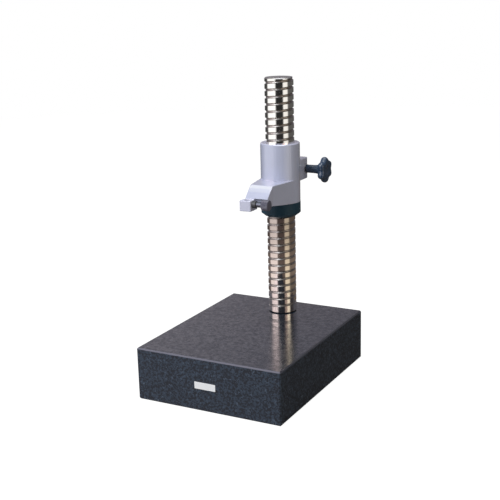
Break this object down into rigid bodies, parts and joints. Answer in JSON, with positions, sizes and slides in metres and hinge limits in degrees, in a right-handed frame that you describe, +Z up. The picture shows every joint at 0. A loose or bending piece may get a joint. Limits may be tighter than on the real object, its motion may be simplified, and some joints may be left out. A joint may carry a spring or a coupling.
{
  "type": "comparator stand",
  "caption": "Comparator stand: granite base, helically grooved column, ring nut for height, and a clamped swivel arm with an 8 mm gauge stem holder.",
  "frame": {"origin": "middle of the granite base's underside", "axes": "+X to the right of the base, +Y to the back where the column stands, +Z up along the column"},
  "size_m": [0.2, 0.2606, 0.385],
  "materials": {
    "granite": "dark speckled granite, polished top and fine ground sides",
    "chrome": "bright hard chrome on steel",
    "black_steel": "black oxide steel",
    "black_enamel": "satin black on steel",
    "steel": "turned steel",
    "brass": "turned brass",
    "bracket_paint": "pale lavender grey enamel on a casting",
    "holder_metal": "satin anodised aluminium",
    "black_plastic": "black moulded plastic with a soft shine"
  },
  "bodies": {
    "stand": {"granite_base": "granite", "column": "chrome", "column_bolt": "black_steel", "lock_washer": "steel", "bolt_washer": "steel"},
    "lift_ring": {"thrust_washer": "brass"},
    "nut": {"ring_nut": "black_enamel"},
    "bracket": {"bracket_body": "bracket_paint", "gauge_holder": "holder_metal", "holder_screw": "black_steel", "holder_dowel": "steel", "screw_bush": "black_steel"},
    "clamp_ring": {"clamp_washer": "steel"},
    "clamp_knob": {"star_knob": "black_plastic", "knob_insert": "brass", "clamp_stud": "steel"},
    "pad": {"pressure_pad": "brass"},
    "thumb": {"thumb_screw": "steel", "thumb_head": "black_plastic"}
  },
  "joints": [
    {"name": "lift", "type": "slide", "parent": "stand", "child": "lift_ring", "axis": [0, 0, 1], "range_m": [-0.12, 0.08]},
    {"name": "nut_turn", "type": "hinge", "parent": "lift_ring", "child": "nut", "pos_m": [0, 0.085, 0.2116], "axis": [0, 0, 1], "range_deg": [-4700, 3200]},
    {"name": "bracket_swivel", "type": "hinge", "parent": "lift_ring", "child": "bracket", "pos_m": [0, 0.085, 0.2605], "axis": [0, 0, 1], "continuous": true},
    {"name": "clamp_travel", "type": "slide", "parent": "bracket", "child": "clamp_ring", "axis": [1, 0, 0], "range_m": [0, 0.003]},
    {"name": "clamp_turn", "type": "hinge", "parent": "clamp_ring", "child": "clamp_knob", "pos_m": [0.03, 0.12, 0.26], "axis": [1, 0, 0], "range_deg": [0, 1090]},
    {"name": "thumb_travel", "type": "slide", "parent": "bracket", "child": "pad", "axis": [1, 0, 0], "range_m": [0, 0.0015]},
    {"name": "thumb_turn", "type": "hinge", "parent": "pad", "child": "thumb", "pos_m": [0.01, 0.0098, 0.231], "axis": [1, 0, 0], "range_deg": [0, 685]}
  ],
  "couplings": [
    {"joint": "nut_turn", "follows": "lift", "rad_per_m": 668.42},
    {"joint": "clamp_turn", "follows": "clamp_travel", "rad_per_m": 6283.2},
    {"joint": "thumb_turn", "follows": "thumb_travel", "rad_per_m": 7854}
  ]
}
